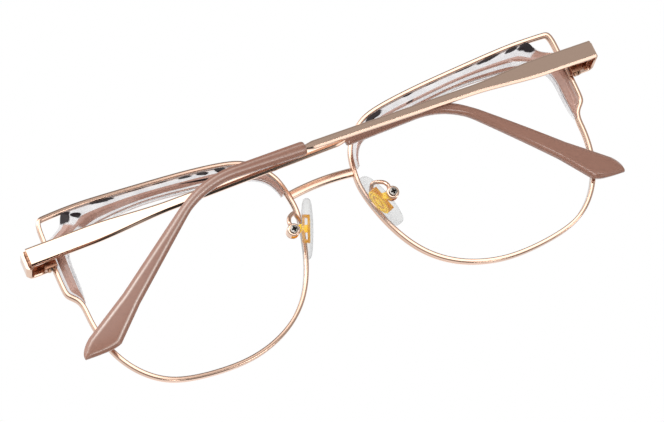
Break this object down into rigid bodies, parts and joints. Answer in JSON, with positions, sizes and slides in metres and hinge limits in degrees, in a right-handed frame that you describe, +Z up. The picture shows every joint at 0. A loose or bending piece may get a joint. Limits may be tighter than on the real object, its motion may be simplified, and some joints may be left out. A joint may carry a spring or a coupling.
{
  "type": "eyeglasses",
  "caption": "Cat-eye eyeglasses with thin metal rims, clear and pink brow inserts, flat metal temples folded behind the front, plastic tips and rocking nose pads.",
  "frame": {"origin": "middle of the box at the height of the rims' lowest point, with the temples folded", "axes": "+X is the wearer's left along the front, the lenses face -Y and the temples lie behind at +Y, +Z is up over the brow"},
  "size_m": [0.145, 0.0222, 0.0482],
  "materials": {
    "rose_gold": "polished plating",
    "screw_steel": "satin",
    "pad_core_gold": "gloss, gold coloured",
    "brow_acetate": "polished, clear and pink",
    "clear_lens": "polished, clear",
    "tip_plastic": "soft gloss",
    "silicone": "clear satin"
  },
  "bodies": {
    "front": {"bridge": "rose_gold", "left_rim": "rose_gold", "left_lens": "clear_lens", "left_brow_insert": "brow_acetate", "left_end_piece": "rose_gold", "left_rim_lock_upper": "rose_gold", "left_rim_lock_lower": "rose_gold", "left_rim_screw": "screw_steel", "left_front_hinge": "rose_gold", "left_hinge_screw": "screw_steel", "left_pad_arm": "rose_gold", "left_pad_box": "rose_gold", "left_pad_screw": "screw_steel", "right_rim": "rose_gold", "right_lens": "clear_lens", "right_brow_insert": "brow_acetate", "right_end_piece": "rose_gold", "right_rim_lock_upper": "rose_gold", "right_rim_lock_lower": "rose_gold", "right_rim_screw": "screw_steel", "right_front_hinge": "rose_gold", "right_hinge_screw": "screw_steel", "right_pad_arm": "rose_gold", "right_pad_box": "rose_gold", "right_pad_screw": "screw_steel"},
    "left_temple": {"left_temple": "rose_gold", "left_temple_tip": "tip_plastic", "left_temple_hinge": "rose_gold"},
    "right_temple": {"right_temple": "rose_gold", "right_temple_tip": "tip_plastic", "right_temple_hinge": "rose_gold"},
    "left_pad": {"left_pad_core": "pad_core_gold", "left_nose_pad": "silicone"},
    "right_pad": {"right_pad_core": "pad_core_gold", "right_nose_pad": "silicone"}
  },
  "joints": [
    {"name": "left_temple_hinge", "type": "hinge", "parent": "front", "child": "left_temple", "pos_m": [0.071, 0.00105, 0.03805], "axis": [0, 0, -1], "range_deg": [0, 91]},
    {"name": "right_temple_hinge", "type": "hinge", "parent": "front", "child": "right_temple", "pos_m": [-0.071, 0.00105, 0.03805], "axis": [0, 0, 1], "range_deg": [0, 87]},
    {"name": "left_pad_rock", "type": "hinge", "parent": "front", "child": "left_pad", "pos_m": [0.0126, -0.0033, 0.0238], "axis": [0, 1, 0], "range_deg": [-8, 8]},
    {"name": "right_pad_rock", "type": "hinge", "parent": "front", "child": "right_pad", "pos_m": [-0.0126, -0.0033, 0.0238], "axis": [0, 1, 0], "range_deg": [-8, 8]}
  ]
}
